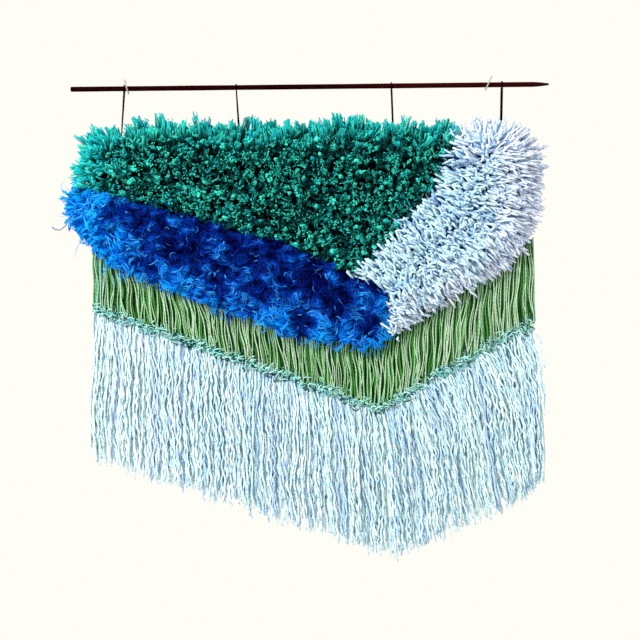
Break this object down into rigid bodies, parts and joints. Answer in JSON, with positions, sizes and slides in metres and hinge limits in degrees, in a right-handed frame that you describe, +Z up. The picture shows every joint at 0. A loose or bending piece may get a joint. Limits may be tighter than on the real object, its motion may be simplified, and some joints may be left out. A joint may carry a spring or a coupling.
{
  "type": "textile wall hanging with its rod and wall hooks",
  "caption": "Wall hanging of teal, blue and lavender pile over a looped and a straight fringe, tied to a rod that lies in wire wall hooks.",
  "frame": {"origin": "on the wall plane, level with the rod's axis and about midway between the hooks", "axes": "+X along the rod to the viewer's right, +Y out of the hanging's back into the wall, +Z up"},
  "size_m": [0.6192, 0.0462, 0.6061],
  "materials": {
    "rod_wood": "dark stained, satin",
    "hook_wire": "white coated wire",
    "tie_cord": "twisted black cord",
    "canvas_weave": "plain weave backing",
    "teal_yarn": "cut pile yarn",
    "blue_wool": "curly wool locks",
    "lavender_yarn": "long cut pile yarn",
    "green_yarn": "twisted yarn loops",
    "pale_yarn": "crimped yarn fringe"
  },
  "bodies": {
    "root": {"rod": "rod_wood", "hook_left": "hook_wire", "hook_right": "hook_wire", "tie_1": "tie_cord", "tie_2": "tie_cord", "tie_3": "tie_cord", "tie_4": "tie_cord", "canvas": "canvas_weave", "teal_pile": "teal_yarn", "blue_locks": "blue_wool", "lavender_pile": "lavender_yarn", "green_loops": "green_yarn", "pale_fringe": "pale_yarn"}
  },
  "joints": []
}
